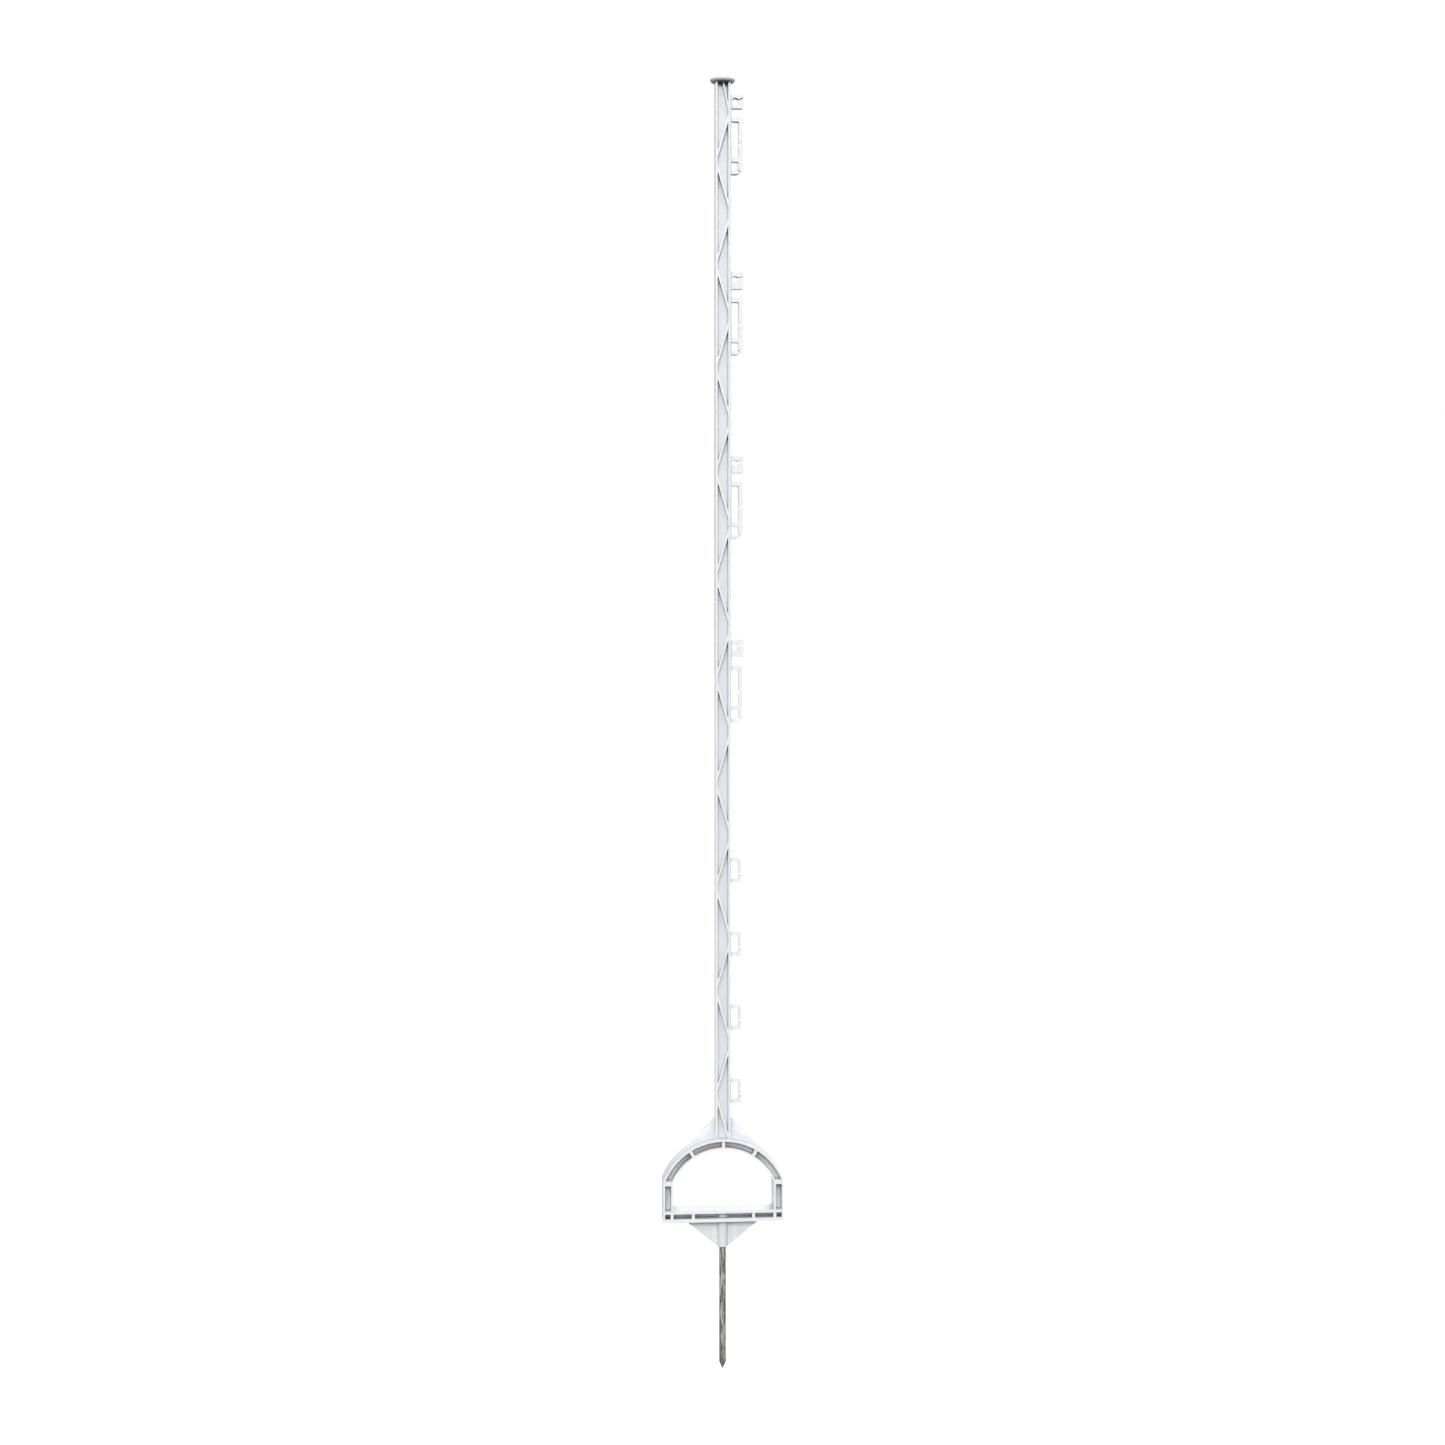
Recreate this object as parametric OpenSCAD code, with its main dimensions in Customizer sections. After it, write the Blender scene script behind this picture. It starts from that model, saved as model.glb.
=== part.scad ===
// Step-in fence post for electric tape, rope and wire.
// One tall moulding carries everything above the ground: an H-section shaft stiffened by
// zig-zag diagonal ribs, a round push cap, a stirrup for the foot, and slit hooks along one
// edge. A round steel spike is moulded into the socket under the stirrup.
//
// The ground line is z = 0, on the spike's axis. +Z runs up the shaft, +X points to the
// hooks, and the front face looks along -Y. All sizes are in millimetres.

/* [Shaft] */
// Height of the top of the cap above the ground line
post_h = 1396; // [1260:1:1700]
// Width of the shaft across its two flanges
shaft_w = 19; // [16:0.5:26]
// Depth of the shaft, front to back
shaft_depth = 16; // [12:0.5:22]
// Thickness of each flange at the parting line
flange_t = 3.6; // [2.6:0.1:4.6]
// Draft on each side of a flange, from the parting line to its tip
flange_draft = 0.3; // [0:0.05:0.6]
// Chamfer on the flange tips
flange_edge = 0.5; // [0.2:0.1:0.8]
// Fillet, drawn as a chamfer, where a flange meets the web
root_fillet = 0.8; // [0.3:0.1:1.4]
// Thickness of the web between the flanges
web_t = 2.6; // [1.6:0.1:4]

/* [Diagonal ribs] */
// Thickness of a rib, measured along the shaft
rib_t = 8.6; // [5:0.2:11]
// Distance along the shaft from one rib to the next
rib_pitch = 61.9; // [56:0.1:90]
// Height a rib gains while it crosses the shaft
rib_rise = 40.5; // [25:0.5:44]
// How much higher the ribs that rise to the left stand than midway between their neighbours
rib_lead = 2.3; // [0:0.1:3]
// How far the rib edges lie below the flange tips
rib_setback = 0.4; // [0.2:0.1:2]
// Height of the lowest rib's low end above the arch, without that lead
rib_foot = 4.7; // [3:0.1:20]
// Drop of the short rib that comes out from under the cap
top_rib_drop = 25; // [15:1:40]

/* [Cap] */
// Diameter of the cap
cap_d = 30; // [28:0.5:50]
// Thickness of the cap
cap_t = 4.2; // [4.2:0.1:6]
// Radius of the rim's upper edge
cap_edge_r = 0.8; // [0.3:0.1:0.9]
// Radius of the rim's lower edge, which is rounded for the hand
cap_under_r = 3.2; // [1:0.1:3.2]

/* [Stirrup] */
// Outer radius of the arch
arch_r = 77.6; // [74:0.1:90]
// Height of the arch's centre above the ground line
arch_z = 52.5; // [50:0.1:70]
// How far the upright legs' outer faces stand inside the arch's outer radius
leg_inset = 5.6; // [3:0.1:8]
// Depth of the stirrup, front to back
stirrup_depth = 30; // [20:1:40]
// Width of the arch and leg section
band_w = 11.8; // [9:0.1:16]
// Thickness of the rails along each edge of that section
rail_t = 2.4; // [2:0.1:3.6]
// Height of the foot bar's underside above the ground line
bar_z = 32.2; // [28:0.1:38]
// Height of the foot bar
bar_h = 13.4; // [12:0.1:20]
// Thickness of the foot bar's lower rail
bar_sole_t = 4.2; // [2.5:0.1:5]
// Thickness of the foot bar's upper rail, the tread
bar_tread_t = 3.4; // [2.5:0.1:5]
// Thickness of the cross ribs in the pockets
cross_t = 3.7; // [1.8:0.1:5]
// Thickness of the level bar that closes each leg where the arch begins
leg_bar_t = 5.6; // [3:0.1:8]
// Angle of the arch's pair of slanted cross ribs from its crown
cross_angle = 31.7; // [20:0.1:45]
// Distance of the foot bar's cross ribs from the middle
cross_x = 36; // [20:1:50]

/* [Gussets and socket] */
// Height above the arch where the upper gussets leave the shaft
gusset_up = 25; // [12:0.5:40]
// Half-width of the lower gusset under the foot bar
gusset_half_w = 46; // [25:1:58]
// Half-width of the lower gusset at the ground line
gusset_foot = 6; // [5:0.5:12]
// Thickness of the gussets
gusset_t = 3; // [2:0.1:5]
// Diameter of the socket boss at the ground line
boss_d = 12; // [10.5:0.1:15]
// Diameter of the socket boss at the top of the foot bar
boss_top_d = 14.4; // [12:0.1:18]

/* [Spike] */
// Diameter of the steel spike
spike_d = 8; // [6:0.5:9]
// Length of the spike's round shank below the ground line
spike_shank = 138; // [90:1:240]
// Length of the conical point
spike_point = 7.8; // [5:0.1:16]
// Diameter of the small flat on the point
spike_tip_d = 1; // [0.6:0.1:2]
// Diameter of the tang inside the socket
tang_d = 7.2; // [5:0.1:8]
// Length of the tang inside the socket
tang_l = 38; // [25:1:41]
// Gap between the tang and its bore, 0 because the plastic is moulded round it
tang_fit = 0; // [0:0.01:0.1]

/* [Hooks] */
// Thickness of the hooks where they leave the shaft, front to back
hook_root_t = 9; // [6:0.5:11]
// Thickness of the hooks at their outer edge
hook_tip_t = 7; // [5:0.5:9]
// How far the strip that the hooks grow from stands out of the shaft
spine_t = 0.8; // [0.4:0.1:1.5]
// Outer corner radius of the hooks
hook_r = 2; // [1:0.1:2.8]
// Corner radius inside the loops
loop_r = 1; // [0.5:0.1:1.5]

/* [Tape loops] */
// Distance from the top of the post down to the first loop's inner top
tape_top = 51; // [44:0.5:80]
// Distance from the first loop to the second
tape_first_pitch = 216; // [160:1:240]
// Distance between the other loops
tape_pitch = 220; // [160:1:240]
// Number of tape loops
tape_count = 4; // [1:1:4]
// Reach of the opening from the shaft to the outer bar
tape_w = 9.6; // [8:0.1:14]
// Height of the opening, for tape up to 40 mm
tape_h = 43; // [30:0.5:60]
// Width of the upright outer bar
tape_bar = 4.6; // [3.5:0.1:6]
// Thickness of the bar over the opening
tape_over = 4.8; // [3:0.1:7]
// Thickness of the bar under the opening
tape_under = 5.2; // [3:0.1:7]
// Distance from the opening's top to the middle of the slit in the outer bar
tape_slit_z = 25.5; // [12:0.5:34]
// Height of the slanted slit
tape_slit = 3; // [2:0.1:6]
// Fall of the slit from the outside to the inside
tape_slit_fall = 6; // [0:0.5:9]

/* [Rope eyes] */
// Diameter of the eye
eye_d = 8; // [6:0.1:9]
// Distance of the eye's centre from the shaft
eye_x = 5.6; // [5.4:0.1:8]
// Height of the eye's centre above the tape opening's top
eye_up = 27; // [25:0.5:34]
// The same height in the top group, which is shorter
eye_up_top = 24.4; // [23:0.2:30]
// Reach of the eye block from the shaft
eye_block_w = 15; // [12:0.1:20]
// Height of the eye block above the eye's centre
eye_block_over = 9; // [7:0.1:13]
// Height of the eye block below the eye's centre
eye_block_under = 11.3; // [7:0.1:14]
// The same two heights in the top group, whose block is smaller
eye_block_over_top = 7; // [6.6:0.1:13]
eye_block_under_top = 8.6; // [7:0.1:14]
// Width of the slit that lets the rope in
eye_slit = 2.4; // [1.5:0.1:4]
// Rise of the slit towards the outside, in degrees
eye_slit_angle = 18; // [0:1:35]

/* [Rope hooks] */
// Width of the opening in the hook under a tape loop
hook_w = 8.4; // [6:0.1:9]
// Height of that opening
hook_h = 10.4; // [8:0.1:16]
// Radius of the opening's lower outer corner
hook_in_r = 3.6; // [2:0.1:4]
// Thickness of the wall under the opening
hook_wall = 4.4; // [3:0.1:6]
// Width of the slit through the hook's lower outer corner
hook_slit = 2.4; // [1.5:0.1:4]

/* [Wire loops] */
// Distance from the arch up to the middle of the lowest wire loop
wire_low = 55.5; // [35:0.5:80]
// Distance between the wire loops
wire_pitch = 88; // [45:1:100]
// Number of wire loops
wire_count = 4; // [1:1:4]
// Reach of the opening from the shaft to the outer bar
wire_w = 9; // [7:0.1:12]
// Height of the opening
wire_h = 21; // [16:0.5:26]
// Width of the bars round the opening
wire_bar = 4.1; // [3:0.1:5]
// Chamfer on the upper outer corner
wire_chamfer = 3; // [1:0.1:4]
// Height of the slit's middle above the opening's bottom
wire_slit_z = 5.2; // [3.5:0.1:9]
// Height of the slit
wire_slit = 2.2; // [1.5:0.1:4]

/* [Hidden] */

white_plastic = "white";
steel = "slategray";

// Facets of the round shapes
$fn = 64;
corner_fn = 32;

// How far one form runs into the next, so that the moulding is one solid
sink = 1.2;
// How far a cutting shape runs past the material
past = 1;

shaft_half = shaft_w / 2;
recess_half = shaft_half - flange_t;
crown_z = arch_z + arch_r;
cap_under_z = post_h - cap_t;
arch_in_r = arch_r - band_w;
leg_half = arch_r - leg_inset;
leg_in_half = leg_half - band_w;
bar_top_z = bar_z + bar_h;

// Diagonal ribs: the low end of rib number i, and how many fit under the cap's short rib
function rib_low_z(i) = crown_z + rib_foot + i * rib_pitch + (i % 2 == 0 ? rib_lead : 0);
rib_count = floor((cap_under_z - top_rib_drop - rib_rise - rib_low_z(0)) / rib_pitch) + 1;

// Heights of the hooks
function tape_z(i) = post_h - tape_top - (i > 0 ? tape_first_pitch + (i - 1) * tape_pitch : 0);
function eye_z(i) = tape_z(i) + (i > 0 ? eye_up : eye_up_top);
function eye_over(i) = i > 0 ? eye_block_over : eye_block_over_top;
function eye_under(i) = i > 0 ? eye_block_under : eye_block_under_top;
function wire_z(i) = crown_z + wire_low + i * wire_pitch;
tape_reach = tape_w + tape_bar;
hook_out_r = hook_in_r + (tape_reach - spine_t - hook_w);

// Angle from the crown to where the straight edge of an upper gusset touches the arch
gusset_top_z = crown_z + gusset_up;
gusset_from_centre = norm([shaft_half, gusset_top_z - arch_z]);
gusset_touch = atan2(shaft_half, gusset_top_z - arch_z) + acos(arch_r / gusset_from_centre);

// Height at which the arch runs into a leg
leg_top_z = arch_z + sqrt(arch_r * arch_r - leg_half * leg_half);

// Shared forms

// Stands a flat drawing up in the front view, with the same depth on both sides
module upright(depth) {
    rotate([90, 0, 0]) linear_extrude(depth, center = true) children();
}

// Rectangle from one corner to the other, with rounded corners
module soft_rect(low, high, r) {
    translate([low[0] + r, low[1]]) square([high[0] - low[0] - 2 * r, high[1] - low[1]]);
    translate([low[0], low[1] + r]) square([high[0] - low[0], high[1] - low[1] - 2 * r]);
    for (x = [low[0] + r, high[0] - r], y = [low[1] + r, high[1] - r])
        translate([x, y]) circle(r, $fn = corner_fn);
}

// The stirrup's outline: a round arch on two upright legs, closed by a level base.
// The legs stop a little below the corner where the arch ends, so that the arch alone sets it.
module stirrup_outline(r, half_w, base_z) {
    meet_z = arch_z + sqrt(r * r - half_w * half_w);
    intersection() {
        translate([0, arch_z]) circle(r, $fn = 128);
        translate([-half_w, meet_z - 2 * sink]) square([2 * half_w, r]);
    }
    translate([-half_w, base_z]) square([2 * half_w, meet_z - sink - base_z]);
}

// The shaft and its cap

// H section with drafted flanges, chamfered tips and filleted roots
module shaft_section() {
    tip_y = shaft_depth / 2;
    web_y = web_t / 2;
    tip_out = shaft_half - flange_draft;
    tip_in = recess_half + flange_draft;
    quarter = [
        [0, web_y],
        [recess_half - root_fillet, web_y],
        [recess_half, web_y + root_fillet],
        [tip_in, tip_y - flange_edge],
        [tip_in + flange_edge, tip_y],
        [tip_out - flange_edge, tip_y],
        [tip_out, tip_y - flange_edge],
        [shaft_half, 0]
    ];
    flipped = [for (i = [len(quarter) - 2 : -1 : 0]) [quarter[i][0], -quarter[i][1]]];
    half_section = concat(quarter, flipped);
    polygon(half_section);
    mirror([1, 0]) polygon(half_section);
}

// One diagonal rib, from its low end on one flange to its high end on the other
module rib_strip(low_x, low_z, high_x, high_z) {
    polygon([[low_x, low_z], [high_x, high_z], [high_x, high_z - rib_t], [low_x, low_z - rib_t]]);
}

module rib_drawing() {
    inside = recess_half + flange_draft + sink;
    slope = rib_rise / (2 * recess_half);
    extra = slope * (inside - recess_half);
    for (i = [0 : rib_count - 1]) {
        side = i % 2 == 0 ? 1 : -1;
        rib_strip(side * inside, rib_low_z(i) - extra, -side * inside, rib_low_z(i) + rib_rise + extra);
    }
    // The short rib starts in the middle of the cap and ends on the flange of the last rib
    last_side = rib_count % 2 == 0 ? 1 : -1;
    short_slope = top_rib_drop / recess_half;
    rib_strip(last_side * inside, cap_under_z - top_rib_drop - short_slope * (inside - recess_half),
              0, cap_under_z + rib_t / 2);
}

module shaft() {
    foot_z = crown_z - rail_t / 2;
    translate([0, 0, foot_z]) linear_extrude(cap_under_z + sink - foot_z) shaft_section();
    intersection() {
        upright(shaft_depth - 2 * rib_setback) rib_drawing();
        translate([-shaft_half, -shaft_depth / 2, foot_z])
            cube([shaft_w, shaft_depth, cap_under_z + sink - foot_z]);
    }
}

module cap_profile() {
    rim_x = cap_d / 2;
    square([rim_x - cap_under_r, cap_t]);
    translate([0, cap_under_r]) {
        square([rim_x - cap_edge_r, cap_t - cap_under_r]);
        square([rim_x, cap_t - cap_edge_r - cap_under_r]);
    }
    translate([rim_x - cap_edge_r, cap_t - cap_edge_r]) circle(cap_edge_r, $fn = corner_fn);
    intersection() {
        translate([rim_x - cap_under_r, cap_under_r]) circle(cap_under_r);
        translate([rim_x - cap_under_r - sink / 2, 0]) square([cap_d, cap_t - cap_edge_r]);
    }
}

module cap() {
    translate([0, 0, cap_under_z]) rotate_extrude() cap_profile();
}

// The stirrup

module band_drawing() {
    difference() {
        stirrup_outline(arch_r, leg_half, bar_z);
        stirrup_outline(arch_in_r, leg_in_half, bar_top_z);
    }
}

module rail_drawing() {
    difference() {
        stirrup_outline(arch_r, leg_half, bar_z);
        stirrup_outline(arch_r - rail_t, leg_half - rail_t, bar_z + bar_sole_t);
    }
    difference() {
        stirrup_outline(arch_in_r + rail_t, leg_in_half + rail_t, bar_top_z - bar_tread_t);
        stirrup_outline(arch_in_r, leg_in_half, bar_top_z);
    }
}

module cross_drawing() {
    pocket_in = arch_in_r + rail_t / 2;
    pocket_out = arch_r - rail_t / 2;
    // Across the arch
    for (a = [-cross_angle, 0, cross_angle])
        translate([0, arch_z]) rotate(-a)
            translate([-cross_t / 2, pocket_in]) square([cross_t, pocket_out - pocket_in]);
    // Across the foot bar, and beside its two corner pockets
    for (x = [-cross_x, cross_x, -leg_in_half - rail_t / 2, leg_in_half + rail_t / 2])
        translate([x - cross_t / 2, bar_z + bar_sole_t / 2])
            square([cross_t, bar_h - (bar_sole_t + bar_tread_t) / 2]);
    // Level bars across each leg, over the corner pocket and where the arch begins
    for (side = [-1, 1]) translate([side * (leg_half - band_w / 2) - (band_w - rail_t) / 2, 0]) {
        translate([0, bar_top_z - bar_tread_t]) square([band_w - rail_t, bar_tread_t]);
        translate([0, leg_top_z - leg_bar_t]) square([band_w - rail_t, leg_bar_t]);
    }
}

module gusset_drawing() {
    touch_r = arch_r - rail_t / 4;
    touch = [touch_r * sin(gusset_touch), arch_z + touch_r * cos(gusset_touch)];
    inner_r = arch_r - rail_t / 2;
    inner = [inner_r * sin(gusset_touch), arch_z + inner_r * cos(gusset_touch)];
    for (side = [-1, 1])
        polygon([
            [side * (shaft_half - sink), gusset_top_z],
            [side * shaft_half, gusset_top_z],
            [side * touch[0], touch[1]],
            [side * inner[0], inner[1]],
            [side * inner_r * sin(gusset_touch / 2), arch_z + inner_r * cos(gusset_touch / 2)],
            [side * (shaft_half - sink), crown_z - rail_t / 2]
        ]);
    polygon([
        [-gusset_half_w, bar_z + sink], [gusset_half_w, bar_z + sink], [gusset_half_w, bar_z],
        [gusset_foot, 0], [-gusset_foot, 0], [-gusset_half_w, bar_z]
    ]);
}

module stirrup() {
    upright(web_t) band_drawing();
    upright(stirrup_depth) rail_drawing();
    upright(stirrup_depth - 2 * rib_setback) cross_drawing();
    upright(gusset_t) gusset_drawing();
    cylinder(h = bar_top_z - bar_tread_t / 2, d1 = boss_d, d2 = boss_top_d);
}

// The hooks, drawn from the shaft's edge outwards

module eye_drawing(over, under) {
    difference() {
        soft_rect([-sink - hook_r, -under], [eye_block_w, over], hook_r);
        translate([eye_x, 0]) {
            circle(d = eye_d);
            rotate(eye_slit_angle) translate([0, -eye_slit / 2]) square([eye_block_w + past, eye_slit]);
        }
    }
}

// Tape loop with the rope hook under it. The drawing's origin is the opening's top.
module tape_drawing() {
    under_z = -tape_h - tape_under;
    hook_low = under_z - hook_h;
    slit_low = -tape_slit_z - tape_slit / 2;
    hook_corner = [spine_t + hook_w - hook_in_r, hook_low + hook_in_r];
    difference() {
        union() {
            soft_rect([-sink - hook_r, -tape_h / 2], [tape_reach, tape_over], hook_r);
            soft_rect([-sink - hook_out_r, hook_low - hook_wall], [tape_reach, 0], hook_out_r);
        }
        soft_rect([spine_t, -tape_h], [tape_w, 0], loop_r);
        // Slanted slit through the outer bar
        polygon([
            [tape_w - past, slit_low - tape_slit_fall / 2],
            [tape_reach + past, slit_low + tape_slit_fall / 2],
            [tape_reach + past, slit_low + tape_slit_fall / 2 + tape_slit],
            [tape_w - past, slit_low - tape_slit_fall / 2 + tape_slit]
        ]);
        // Opening of the rope hook, rounder at its lower outer corner
        difference() {
            soft_rect([spine_t, hook_low], [spine_t + hook_w, under_z], loop_r);
            translate(hook_corner - [0, hook_in_r + past]) square(hook_in_r + past);
        }
        translate(hook_corner) circle(hook_in_r, $fn = corner_fn);
        translate(hook_corner) rotate(-45)
            translate([0, -hook_slit / 2]) square([2 * hook_out_r, hook_slit]);
    }
}

// Wire loop, drawn from the middle of its opening
module wire_drawing() {
    top = wire_h / 2 + wire_bar;
    reach = wire_w + wire_bar;
    difference() {
        soft_rect([-sink - hook_r, -top], [reach, top], hook_r);
        soft_rect([spine_t, -wire_h / 2], [wire_w, wire_h / 2], loop_r);
        translate([wire_w - past, wire_slit_z - wire_h / 2 - wire_slit / 2])
            square([wire_bar + 2 * past, wire_slit]);
        polygon([[reach - wire_chamfer, top], [reach + past, top + past], [reach, top - wire_chamfer]]);
    }
}

module hooks_drawing() {
    for (i = [0 : tape_count - 1]) {
        translate([shaft_half, eye_z(i)]) eye_drawing(eye_over(i), eye_under(i));
        translate([shaft_half, tape_z(i)]) tape_drawing();
        // Strip that joins an eye to its loop
        translate([shaft_half - sink, tape_z(i)])
            square([sink + spine_t, eye_z(i) - eye_under(i) - tape_z(i) + sink]);
    }
    for (i = [0 : wire_count - 1])
        translate([shaft_half, wire_z(i)]) wire_drawing();
}

// The hooks thin out from the shaft to their outer edge, as the mould needs
module hooks() {
    reach = max(tape_reach, eye_block_w, wire_w + wire_bar) + past;
    root = hook_root_t / 2;
    tip = hook_tip_t / 2;
    intersection() {
        upright(hook_root_t + past) hooks_drawing();
        translate([shaft_half, 0, 0]) linear_extrude(post_h)
            polygon([[-sink, -root], [0, -root], [reach, -tip], [reach, tip], [0, root], [-sink, root]]);
    }
}

// The two pieces

module post_moulding() {
    color(white_plastic) difference() {
        union() {
            shaft();
            cap();
            stirrup();
            hooks();
        }
        // Blind bore that the tang fills
        translate([0, 0, -past]) cylinder(h = tang_l + past, d = tang_d + 2 * tang_fit);
    }
}

module ground_spike() {
    color(steel) {
        translate([0, 0, -spike_shank - spike_point])
            cylinder(h = spike_point, d1 = spike_tip_d, d2 = spike_d);
        translate([0, 0, -spike_shank]) cylinder(h = spike_shank, d = spike_d);
        cylinder(h = tang_l, d = tang_d);
    }
}

post_moulding();
ground_spike();
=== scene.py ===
# %% [markdown]
# # A step-in fence post, dressed for its picture
# The real thing is a white moulded post with a steel spike under it. Its shape comes finished from
# the CAD model, so nothing is modelled again here. What is left is what makes it look real: the
# skin of moulded plastic, the drawn steel rod, the light, and the place it is seen from.
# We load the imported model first, because everything else is set against its measured box.

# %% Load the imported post
import math

import bpy
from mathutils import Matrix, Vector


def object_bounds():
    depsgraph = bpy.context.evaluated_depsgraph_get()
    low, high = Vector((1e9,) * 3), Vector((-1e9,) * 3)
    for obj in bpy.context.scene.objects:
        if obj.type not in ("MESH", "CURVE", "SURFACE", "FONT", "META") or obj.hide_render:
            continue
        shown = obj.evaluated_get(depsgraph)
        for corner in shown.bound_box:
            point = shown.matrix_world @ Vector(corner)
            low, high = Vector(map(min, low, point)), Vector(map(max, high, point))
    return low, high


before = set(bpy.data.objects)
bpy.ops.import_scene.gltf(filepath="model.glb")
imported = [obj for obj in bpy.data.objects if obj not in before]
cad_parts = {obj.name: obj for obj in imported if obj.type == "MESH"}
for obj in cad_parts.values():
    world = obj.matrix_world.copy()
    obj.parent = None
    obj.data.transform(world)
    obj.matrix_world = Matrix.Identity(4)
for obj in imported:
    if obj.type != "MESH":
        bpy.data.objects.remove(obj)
cad_box = [list(corner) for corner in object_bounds()]
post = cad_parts["post_moulding"]
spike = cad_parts["ground_spike"]
tip_z = cad_box[0][2]
print("post box, lowest and highest corner in metres:", cad_box)

# %% [markdown]
# ## The camera
# The photograph was taken from a little to the left of the front, level, at half the post's
# height: the cap shows its underside and the foot bar shows its upper face. A lens could be tilted
# to put the horizon above the middle of the picture, but then upright edges would lean. A level
# camera with a small vertical shift keeps them upright, as they are in the photograph.

# %% Set up the camera
PHOTO_PIXELS = 1445
HORIZON_ROW = 640
CAMERA_DISTANCE = 2.7
CAMERA_HEIGHT = 0.725
CAMERA_LEFT = math.radians(5)

lens = bpy.data.cameras.new("photo_camera")
lens.lens = 56.2
lens.sensor_width = 36
lens.shift_y = (HORIZON_ROW - PHOTO_PIXELS / 2) / PHOTO_PIXELS
camera = bpy.data.objects.new("photo_camera", lens)
camera.location = (
    -CAMERA_DISTANCE * math.sin(CAMERA_LEFT),
    -CAMERA_DISTANCE * math.cos(CAMERA_LEFT),
    CAMERA_HEIGHT,
)
camera.rotation_euler = (math.radians(90), 0, -CAMERA_LEFT)
bpy.context.scene.collection.objects.link(camera)
bpy.context.scene.camera = camera
bpy.context.scene.view_settings.view_transform = "Standard"
print("camera at", tuple(round(c, 3) for c in camera.location), "shift", round(lens.shift_y, 4))

# %% [markdown]
# ## Wiring nodes
# A material in Blender is a small net of nodes. Making each by hand takes three lines, so one
# helper adds a node, sets its choices and either fills or links its sockets. A second one does
# plain sums, which every finish here needs.


# %% Helpers for wiring nodes
def add_node(tree, kind, choices=None, sockets=None):
    """Adds a node. choices are its settings; sockets are numbers, colours or sockets to link."""
    node = tree.nodes.new("ShaderNode" + kind)
    for name, value in (choices or {}).items():
        setattr(node, name, value)
    for name, value in (sockets or {}).items():
        if isinstance(value, bpy.types.NodeSocket):
            tree.links.new(value, node.inputs[name])
        else:
            node.inputs[name].default_value = value
    return node


def sum_up(tree, how, first, second=0.0, third=0.0, keep_in_range=False):
    """One Math node: how is Blender's name for the sum. Returns its result."""
    choices = {"operation": how, "use_clamp": keep_in_range}
    sockets = {0: first, 1: second, 2: third}
    return add_node(tree, "Math", choices, sockets).outputs[0]


def blend_colour(tree, share, first, second, how="MIX"):
    """One Mix node for colours. share is how much of the second colour shows."""
    node = add_node(tree, "Mix", {"data_type": "RGBA", "blend_type": how})
    for index, value in ((0, share), (6, first), (7, second)):
        if isinstance(value, bpy.types.NodeSocket):
            tree.links.new(value, node.inputs[index])
        else:
            node.inputs[index].default_value = value
    return node.outputs[2]


print("helpers ready")

# %% [markdown]
# ## Effects that both finishes share
# Plastic and steel wear in the same places and hold grime in the same places, so each such effect
# is one node group with its own inputs. It is built once and placed in both materials. A group
# puts out masks, values and normals only; the shader stays in the material.


# %% Helper: an empty node group with named sockets
def start_group(name, inputs, outputs):
    """inputs are (name, starting value); outputs are (name, kind). Returns group, in, out."""
    group = bpy.data.node_groups.new(name, "ShaderNodeTree")
    for socket_name, value in inputs:
        socket = group.interface.new_socket(
            socket_name, in_out="INPUT", socket_type="NodeSocketFloat"
        )
        socket.default_value = value
    for socket_name, kind in outputs:
        group.interface.new_socket(socket_name, in_out="OUTPUT", socket_type="NodeSocket" + kind)
    return group, group.nodes.new("NodeGroupInput"), group.nodes.new("NodeGroupOutput")


def place_group(tree, group, **values):
    """Places a group in a material. Words in an input's name are joined by underscores here."""
    node = add_node(tree, "Group", {"node_tree": group})
    for name, value in values.items():
        node.inputs[name.replace("_", " ")].default_value = value
    return node


print("group helpers ready")

# %% [markdown]
# ### Worn and rounded edges
# No moulded or turned edge is truly sharp, and edges are rubbed first. Blender's Bevel node bends
# the normal near an edge as a small radius would. Where the bent normal leaves the flat one,
# there is an edge, so the same node also gives the edge mask, on a mesh of any density. The
# plastic greys its edges with that mask: partly wear, partly painted shade where edges turn away.

# %% Build the edge group
edge_wear_and_shade, edge_in, edge_out = start_group(
    "edge_wear_and_shade", [("Width", 0.0004), ("Strength", 3.0)], [("Mask", "Float"), ("Normal", "Vector")]
)
rounded = add_node(edge_wear_and_shade, "Bevel", {"samples": 6}, {"Radius": edge_in.outputs["Width"]})
flat = add_node(edge_wear_and_shade, "NewGeometry")
agreement = add_node(
    edge_wear_and_shade,
    "VectorMath",
    {"operation": "DOT_PRODUCT"},
    {0: rounded.outputs[0], 1: flat.outputs["Normal"]},
)
turned = sum_up(edge_wear_and_shade, "SUBTRACT", 1.0, agreement.outputs["Value"])
edge_mask = sum_up(edge_wear_and_shade, "MULTIPLY", turned, edge_in.outputs["Strength"], keep_in_range=True)
edge_wear_and_shade.links.new(edge_mask, edge_out.inputs["Mask"])
edge_wear_and_shade.links.new(rounded.outputs[0], edge_out.inputs["Normal"])
print("edge group:", len(edge_wear_and_shade.nodes), "nodes")
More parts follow.
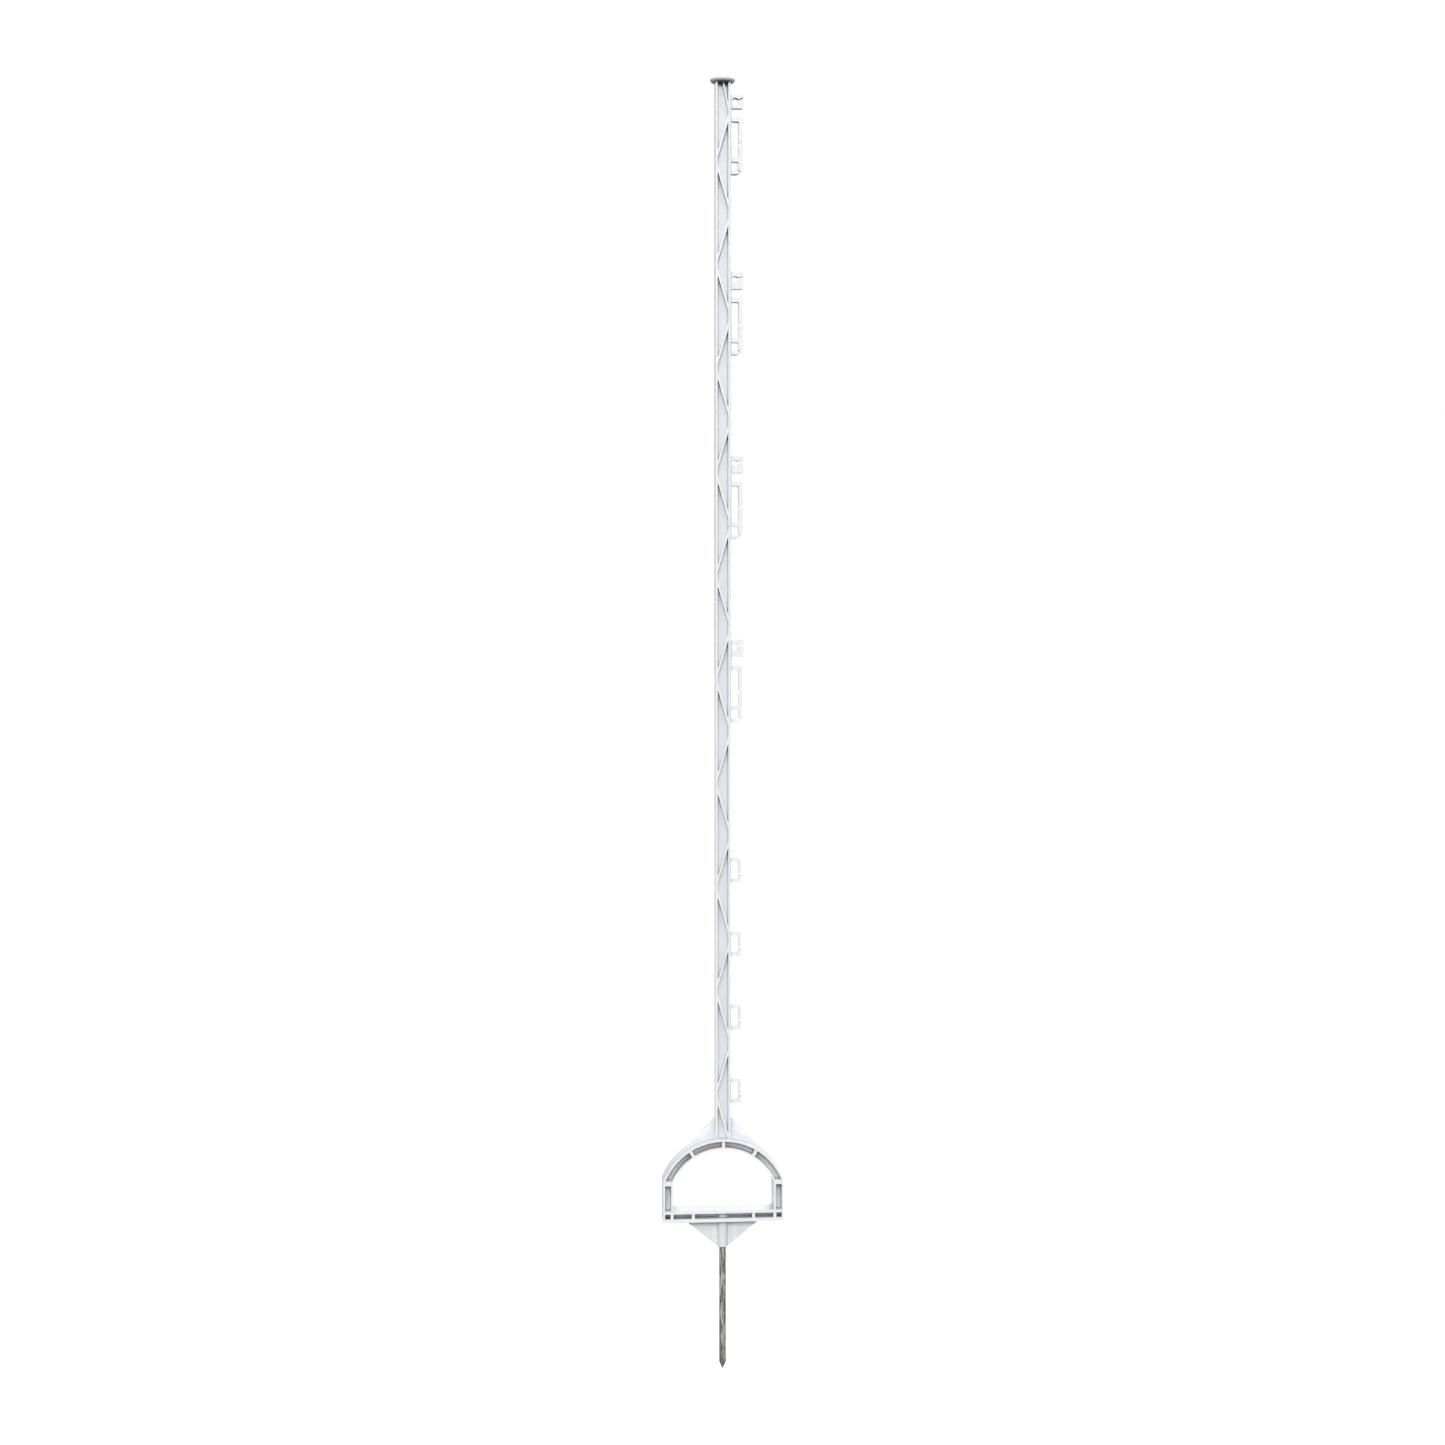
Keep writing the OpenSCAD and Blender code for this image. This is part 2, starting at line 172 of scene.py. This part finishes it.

# %% [markdown]
# ### Painted shade in the corners
# This group paints shade where light hardly gets in: in the shaft's channels, the rib corners, the
# stirrup's pockets and the joint at the socket. The Ambient Occlusion node measures how closed in a
# point is, within a reach that we choose. It looks straight out from the surface. The group can
# tilt that look upwards: then a corner under a rib counts as closed in and gets a painted shadow,
# while one that is open above stays clean.

# %% Build the corner group
corner_shade, shade_in, shade_out = start_group(
    "corner_shade",
    [("Reach", 0.01), ("Look Up", 0.0), ("Start", 0.3), ("Full", 0.9)],
    [("Mask", "Float")],
)
outward = add_node(corner_shade, "NewGeometry").outputs["Normal"]
skyward = add_node(corner_shade, "CombineXYZ", None, {"Z": shade_in.outputs["Look Up"]})
tilted = add_node(
    corner_shade, "VectorMath", {"operation": "ADD"}, {0: outward, 1: skyward.outputs[0]}
)
look = add_node(corner_shade, "VectorMath", {"operation": "NORMALIZE"}, {0: tilted.outputs[0]})
openness = add_node(
    corner_shade,
    "AmbientOcclusion",
    {"samples": 12, "only_local": True},
    {"Distance": shade_in.outputs["Reach"], "Normal": look.outputs[0]},
)
closed_in = sum_up(corner_shade, "SUBTRACT", 1.0, openness.outputs["AO"])
shade_mask = add_node(
    corner_shade,
    "MapRange",
    {"interpolation_type": "SMOOTHSTEP"},
    {
        "Value": closed_in,
        "From Min": shade_in.outputs["Start"],
        "From Max": shade_in.outputs["Full"],
    },
)
corner_shade.links.new(shade_mask.outputs[0], shade_out.inputs["Mask"])
print("corner group:", len(corner_shade.nodes), "nodes")

# %% [markdown]
# ### Lines that run along the part
# Steel rod keeps the scratches of the die it was drawn through, and plastic that was pushed along
# a tall mould keeps faint flow lines. Both are noise stretched along the post. The pattern is
# read from object coordinates, so it stays on the part from any side.

# %% Build the streak group
streaks, streak_in, streak_out = start_group(
    "long_streaks", [("Across", 900.0), ("Along", 12.0), ("Detail", 4.0)], [("Value", "Float")]
)
place = add_node(streaks, "TexCoord").outputs["Object"]
stretch = add_node(
    streaks,
    "CombineXYZ",
    None,
    {
        "X": streak_in.outputs["Across"],
        "Y": streak_in.outputs["Across"],
        "Z": streak_in.outputs["Along"],
    },
).outputs[0]
stretched = add_node(streaks, "VectorMath", {"operation": "MULTIPLY"}, {0: place, 1: stretch})
streak_noise = add_node(
    streaks,
    "TexNoise",
    None,
    {
        "Vector": stretched.outputs[0],
        "Scale": 1.0,
        "Detail": streak_in.outputs["Detail"],
        "Roughness": 0.6,
    },
)
streaks.links.new(streak_noise.outputs["Fac"], streak_out.inputs["Value"])
print("streak group:", len(streaks.nodes), "nodes")

# %% [markdown]
# ### Fine grain and slow mottling
# A mould's steel is eroded to a fine matt grain that hides sink marks, and a rod has the same sort
# of fine pitting. Grain feeds the bump. Much slower mottling feeds colour and roughness, since no
# large surface reflects evenly.

# %% Build the grain group
surface_grain, grain_in, grain_out = start_group(
    "surface_grain",
    [("Grain Scale", 2500.0), ("Mottle Scale", 35.0)],
    [("Grain", "Float"), ("Mottle", "Float")],
)
grain_place = add_node(surface_grain, "TexCoord").outputs["Object"]
for output, scale, detail in (("Grain", "Grain Scale", 3.0), ("Mottle", "Mottle Scale", 5.0)):
    noise = add_node(
        surface_grain,
        "TexNoise",
        None,
        {"Vector": grain_place, "Scale": grain_in.outputs[scale], "Detail": detail},
    )
    surface_grain.links.new(noise.outputs["Fac"], grain_out.inputs[output])
print("grain group:", len(surface_grain.nodes), "nodes")


# %% [markdown]
# ## White moulded plastic
# The post is stiff white plastic with a cool cast, matt to satin. It could be one white, but then
# it would look like paper. Its colour is painted greyer down in the channels of the shaft, near black
# under the ribs and in tight corners, dark in the pockets and grey under the cap: all of that is
# painted shade. Rubbed edges are greyer and glossier, partly wear and partly painted shade. The skin
# is streaked by flow along the shaft, scuffed where a boot presses on the foot bar, and splashed
# below the foot bar, partly soil and partly painted shade. Most of these are weak alone; together
# they read as plastic.

# %% Helper: start a material with its shader
def start_material(name):
    """Returns a new material, its node tree and its one shader."""
    material = bpy.data.materials.new(name)
    material.use_nodes = True
    return material, material.node_tree, material.node_tree.nodes["Principled BSDF"]


def level_mask(tree, height, low, high, soft):
    """1 between two heights of the part, falling to 0 over the soft distance."""
    rise = sum_up(tree, "SUBTRACT", height, low - soft)
    fall = sum_up(tree, "SUBTRACT", high + soft, height)
    nearest = sum_up(tree, "MINIMUM", rise, fall)
    return sum_up(tree, "DIVIDE", nearest, soft, keep_in_range=True)


print("material helpers ready")

# %% Colours of the plastic
CLEAN_WHITE = (0.91, 0.915, 0.92, 1)
FLOW_WHITE = (0.875, 0.885, 0.90, 1)
EDGE_WEAR_AND_SHADE_GREY = (0.52, 0.53, 0.55, 1)
CHANNEL_SHADE_GREY = (0.55, 0.58, 0.635, 1)
CORNER_SHADOW_BLACK = (0.035, 0.038, 0.04, 1)
POCKET_SHADE_GREY = (0.13, 0.12, 0.105, 1)
BOOT_GREY = (0.62, 0.62, 0.61, 1)
CAP_SHADE_GREY = (0.34, 0.35, 0.32, 1)
FOOT_BAR_TOP = 0.0456
CAP_TOP = 1.396
CAP_BOTTOM = 1.3918

plastic, tree, skin = start_material("white_moulded_plastic")
edges = place_group(tree, edge_wear_and_shade, Width=0.00025, Strength=3.0)
channel_shade = place_group(tree, corner_shade, Reach=0.014, Look_Up=0.0, Start=0.08, Full=0.36)
rib_corner_shadow = place_group(tree, corner_shade, Reach=0.009, Look_Up=2.2, Start=0.8, Full=0.92)
pocket_shade = place_group(tree, corner_shade, Reach=0.02, Look_Up=1.2, Start=0.76, Full=1.0)
flow = place_group(tree, streaks, Across=160.0, Along=7.0, Detail=3.0)
grain = place_group(tree, surface_grain, Grain_Scale=2600.0, Mottle_Scale=28.0)
print("plastic material started with", len(tree.nodes), "nodes")

# %% [markdown]
# The boot's scuffs need to know where the foot bar's upper face is: it is level, and its height
# is known from the model. Short streaks across it, front to back, are what a sole leaves.

# %% Boot scuffs on the foot bar
shape = add_node(tree, "NewGeometry")
facing = add_node(tree, "SeparateXYZ", None, {0: shape.outputs["True Normal"]})
spot = add_node(tree, "TexCoord").outputs["Object"]
height = add_node(tree, "SeparateXYZ", None, {0: spot}).outputs["Z"]
on_tread = level_mask(tree, height, FOOT_BAR_TOP - 0.0005, FOOT_BAR_TOP + 0.0005, 0.0005)
upward = sum_up(tree, "GREATER_THAN", facing.outputs["Z"], 0.8)
sole = add_node(
    tree, "VectorMath", {"operation": "MULTIPLY"}, {0: spot, 1: (420.0, 60.0, 1.0)}
)
sole_marks = add_node(tree, "TexNoise", None, {"Vector": sole.outputs[0], "Scale": 1.0, "Detail": 5.0})
marks = sum_up(tree, "MULTIPLY_ADD", sole_marks.outputs["Fac"], 5.0, -2.7, keep_in_range=True)
scuffs = sum_up(tree, "MULTIPLY", sum_up(tree, "MULTIPLY", on_tread, upward), marks)
print("scuffs added")

# %% [markdown]
# The cap's rim is painted grey, most of all low on the rim and under it: painted shade under the
# cap's overhang, mottled a little. The same height mask as for the boot does it.

# %% Painted shade on the cap's rim and underside
on_rim = level_mask(tree, height, CAP_BOTTOM - 0.0005, CAP_BOTTOM + 0.0012, 0.0026)
rim_mottle = sum_up(tree, "MULTIPLY_ADD", grain.outputs["Mottle"], 0.5, 0.5, keep_in_range=True)
cap_underside_shade = sum_up(tree, "MULTIPLY", on_rim, rim_mottle)
print("painted cap shade added from", CAP_BOTTOM, "to", CAP_TOP)

# %% [markdown]
# The gusset and socket below the foot bar stand in the grass. They are painted a shade duller and
# warmer than the bar itself: partly soil splash, partly painted shade under the foot bar. The mask
# ends just under the bar.

# %% Soil splash and painted shade below the foot bar
SOIL_AND_SHADE_GREY = (0.62, 0.62, 0.60, 1)
below_bar = level_mask(tree, height, -0.01, 0.029, 0.002)
splash_spots = sum_up(tree, "MULTIPLY_ADD", flow.outputs["Value"], 2.0, -0.4, keep_in_range=True)
splash_and_shade = sum_up(tree, "MULTIPLY", below_bar, splash_spots)
print("soil splash added")

# %% Colour, sheen and skin of the plastic
flow_share = sum_up(tree, "MULTIPLY_ADD", flow.outputs["Value"], 2.4, -0.7, keep_in_range=True)
colour = blend_colour(tree, flow_share, CLEAN_WHITE, FLOW_WHITE)
mottle_share = sum_up(tree, "MULTIPLY_ADD", grain.outputs["Mottle"], 1.2, -0.45, keep_in_range=True)
colour = blend_colour(tree, sum_up(tree, "MULTIPLY", mottle_share, 0.5), colour, FLOW_WHITE)
# Painted shade along the edges, partly wear: the edge mask greys every edge.
colour = blend_colour(tree, sum_up(tree, "MULTIPLY", edges.outputs["Mask"], 0.34), colour, EDGE_WEAR_AND_SHADE_GREY)
colour = blend_colour(tree, sum_up(tree, "MULTIPLY", scuffs, 0.35), colour, BOOT_GREY)
# Painted shade: the shaft's channels are greyed where the Ambient Occlusion mask finds them closed in.
colour = blend_colour(tree, sum_up(tree, "MULTIPLY", channel_shade.outputs["Mask"], 0.55), colour, CHANNEL_SHADE_GREY)
# Partly soil splash, partly painted shade under the foot bar.
colour = blend_colour(tree, sum_up(tree, "MULTIPLY", splash_and_shade, 0.42), colour, SOIL_AND_SHADE_GREY)
# Painted shade: the cap's underside and low rim are greyed.
colour = blend_colour(tree, sum_up(tree, "MULTIPLY", cap_underside_shade, 0.8), colour, CAP_SHADE_GREY)
# Painted shadow: near black under the ribs and in tight corners.
colour = blend_colour(tree, sum_up(tree, "MULTIPLY", rib_corner_shadow.outputs["Mask"], 0.96), colour, CORNER_SHADOW_BLACK)
# Painted shade in the stirrup's pockets.
colour = blend_colour(tree, sum_up(tree, "MULTIPLY", pocket_shade.outputs["Mask"], 0.5), colour, POCKET_SHADE_GREY)
tree.links.new(colour, skin.inputs["Base Color"])

sheen = sum_up(tree, "MULTIPLY_ADD", grain.outputs["Mottle"], 0.16, 0.32)
sheen = sum_up(tree, "MULTIPLY_ADD", edges.outputs["Mask"], -0.08, sheen)
sheen = sum_up(tree, "MULTIPLY_ADD", rib_corner_shadow.outputs["Mask"], 0.25, sheen)
sheen = sum_up(tree, "MULTIPLY_ADD", scuffs, 0.18, sheen, keep_in_range=True)
tree.links.new(sheen, skin.inputs["Roughness"])

relief = sum_up(tree, "MULTIPLY_ADD", flow.outputs["Value"], 0.5, grain.outputs["Grain"])
bump = add_node(
    tree,
    "Bump",
    None,
    {
        "Strength": 0.25,
        "Distance": 0.0001,
        "Height": relief,
        "Normal": edges.outputs["Normal"],
    },
)
tree.links.new(bump.outputs[0], skin.inputs["Normal"])
skin.inputs["IOR"].default_value = 1.49
post.material_slots[0].material = plastic
print("plastic material has", len(tree.nodes), "nodes")

# %% [markdown]
# ## Drawn steel
# The spike is plain round bar, drawn through a die and then turned to a point. The die leaves long
# fine lines, the lathe leaves rings on the point, and a thin oily oxide gives it an olive cast
# that is darker at the shoulder of the point, where it was handled hot. Just below the socket the
# same dark colour is painted in as painted shade from the socket. In the photograph it doesn't
# mirror the white room, as bright metal would. It is matt and streaky, so only a quarter of it
# counts as bare metal, and the oxide's tint also dims the glare that any surface has when it is
# seen at a slant.

# %% Steel of the spike
STEEL = (0.50, 0.50, 0.48, 1)
DARK_STEEL = (0.10, 0.10, 0.092, 1)
OXIDE = (0.06, 0.06, 0.052, 1)
SHOULDER_Z = -0.138
BARE_METAL = 0.25
EDGE_TINT = (0.35, 0.35, 0.33, 1)

steel, tree, metal = start_material("drawn_steel")
edges = place_group(tree, edge_wear_and_shade, Width=0.0003, Strength=3.0)
joint_shade = place_group(tree, corner_shade, Reach=0.012, Look_Up=0.0, Start=0.2, Full=0.8)
die_lines = place_group(tree, streaks, Across=620.0, Along=70.0, Detail=4.0)
pits = place_group(tree, surface_grain, Grain_Scale=3200.0, Mottle_Scale=130.0)
spot = add_node(tree, "TexCoord").outputs["Object"]
height = add_node(tree, "SeparateXYZ", None, {0: spot}).outputs["Z"]
rings = add_node(
    tree,
    "TexWave",
    {"wave_type": "BANDS", "bands_direction": "Z"},
    {"Vector": spot, "Scale": 420.0, "Distortion": 1.2, "Detail": 2.0},
)
on_point = level_mask(tree, height, -0.2, SHOULDER_Z, 0.0006)
line_share = sum_up(tree, "MULTIPLY_ADD", die_lines.outputs["Value"], 5.5, -2.2, keep_in_range=True)
colour = blend_colour(tree, line_share, STEEL, DARK_STEEL)
blotch = sum_up(tree, "MULTIPLY_ADD", pits.outputs["Mottle"], 4.0, -2.2, keep_in_range=True)
colour = blend_colour(tree, sum_up(tree, "MULTIPLY", blotch, 0.6), colour, OXIDE)
near_shoulder = level_mask(tree, height, SHOULDER_Z - 0.001, SHOULDER_Z + 0.002, 0.012)
colour = blend_colour(tree, sum_up(tree, "MULTIPLY", near_shoulder, 0.55), colour, OXIDE)
# Painted shade: the spike is darkened where it meets the socket.
colour = blend_colour(tree, sum_up(tree, "MULTIPLY", joint_shade.outputs["Mask"], 0.8), colour, OXIDE)
tree.links.new(colour, metal.inputs["Base Color"])
metal.inputs["Metallic"].default_value = BARE_METAL
metal.inputs["Specular IOR Level"].default_value = 0.3
metal.inputs["Specular Tint"].default_value = EDGE_TINT
sheen = sum_up(tree, "MULTIPLY_ADD", die_lines.outputs["Value"], 0.25, 0.4)
sheen = sum_up(tree, "MULTIPLY_ADD", blotch, 0.2, sheen, keep_in_range=True)
tree.links.new(sheen, metal.inputs["Roughness"])
ring_relief = sum_up(tree, "MULTIPLY", rings.outputs["Fac"], on_point)
relief = sum_up(tree, "MULTIPLY_ADD", ring_relief, 1.5, die_lines.outputs["Value"])
relief = sum_up(tree, "MULTIPLY_ADD", pits.outputs["Grain"], 0.3, relief)
bump = add_node(
    tree,
    "Bump",
    None,
    {"Strength": 0.5, "Distance": 0.0001, "Height": relief, "Normal": edges.outputs["Normal"]},
)
tree.links.new(bump.outputs[0], metal.inputs["Normal"])
spike.material_slots[0].material = steel
print("steel material has", len(tree.nodes), "nodes")

# %% [markdown]
# ## Floor and background
# The photograph's background is plain white. Turning the lamps up would also bleach the post, so
# the white is shown to the camera and to reflections only, through the Light Path node, while the
# light that reaches the post comes from a calmer grey. The floor lies at the spike's point. It is
# a real matt floor, so that it keeps the post's shadow, with a little glow that only the camera
# sees.


# %% Helper: seen directly, in gloss or through glass
def seen_plainly(tree):
    """1 for camera, glossy and transmission rays, 0 for the light that falls on things."""
    path = add_node(tree, "LightPath")
    seen = sum_up(tree, "MAXIMUM", path.outputs["Is Camera Ray"], path.outputs["Is Glossy Ray"])
    return sum_up(tree, "MAXIMUM", seen, path.outputs["Is Transmission Ray"])


# %% World
AMBIENT_GREY = (0.47, 0.473, 0.48, 1)
WHITE = (1.0, 1.0, 1.0, 1)

world = bpy.data.worlds.new("studio_air")
bpy.context.scene.world = world
world.use_nodes = True
tree = world.node_tree
sky = tree.nodes["Background"]
tree.links.new(blend_colour(tree, seen_plainly(tree), AMBIENT_GREY, WHITE), sky.inputs["Color"])
sky.inputs["Strength"].default_value = 1.0
print("world set")

# %% Floor
FLOOR_REACH = 60.0
FLOOR_PALE = (0.78, 0.78, 0.78, 1)
FLOOR_DULL = (0.14, 0.14, 0.145, 1)
FLOOR_GLOW = 0.5

mesh = bpy.data.meshes.new("pale_floor")
corners_at = [(x * FLOOR_REACH, y * FLOOR_REACH, tip_z) for x, y in ((-1, -1), (1, -1), (1, 1), (-1, 1))]
mesh.from_pydata(corners_at, [], [(0, 1, 2, 3)])
floor = bpy.data.objects.new("pale_floor", mesh)
bpy.context.scene.collection.objects.link(floor)

matt, tree, old_shader = start_material("matt_floor")
tree.nodes.remove(old_shader)
seen = seen_plainly(tree)
cloth = add_node(tree, "BsdfDiffuse", None, {"Color": blend_colour(tree, seen, FLOOR_DULL, FLOOR_PALE)})
glow = add_node(
    tree, "Emission", None, {"Color": WHITE, "Strength": sum_up(tree, "MULTIPLY", seen, FLOOR_GLOW)}
)
both = add_node(tree, "AddShader", None, {0: cloth.outputs[0], 1: glow.outputs[0]})
tree.links.new(both.outputs[0], tree.nodes["Material Output"].inputs["Surface"])
mesh.materials.append(matt)
print("floor at", round(tip_z, 4))

# %% [markdown]
# ## Lamps
# The photograph shows soft light from the front: fronts are brightest, the cap's underside and
# the pockets fall dark, and the foot bar throws a short shadow on the gusset below it. So the main
# lamp stands in front and fairly low, and a weak, very wide one above it fills the tread. The back
# isn't in the picture, but it should be readable too, so a third stands high behind on the right,
# steep enough not to glare along the shaft's left side. All three are suns. A sun has the same
# strength over the post's whole height, where a nearby lamp would fade towards the foot.


# %% Helper and lamps
def soft_sun(name, strength, spread_deg, height_deg, left_deg):
    """A sun seen height_deg above the horizon and left_deg to the left of straight in front."""
    lamp = bpy.data.lights.new(name, "SUN")
    lamp.energy = strength
    lamp.angle = math.radians(spread_deg)
    holder = bpy.data.objects.new(name, lamp)
    holder.rotation_euler = (math.radians(90 - height_deg), 0, math.radians(-left_deg))
    bpy.context.scene.collection.objects.link(holder)
    return holder


soft_sun("front_light", 2.05, 24, 23, 6)
soft_sun("top_light", 0.25, 60, 60, -10)
soft_sun("rear_light", 1.05, 24, 34, -160)
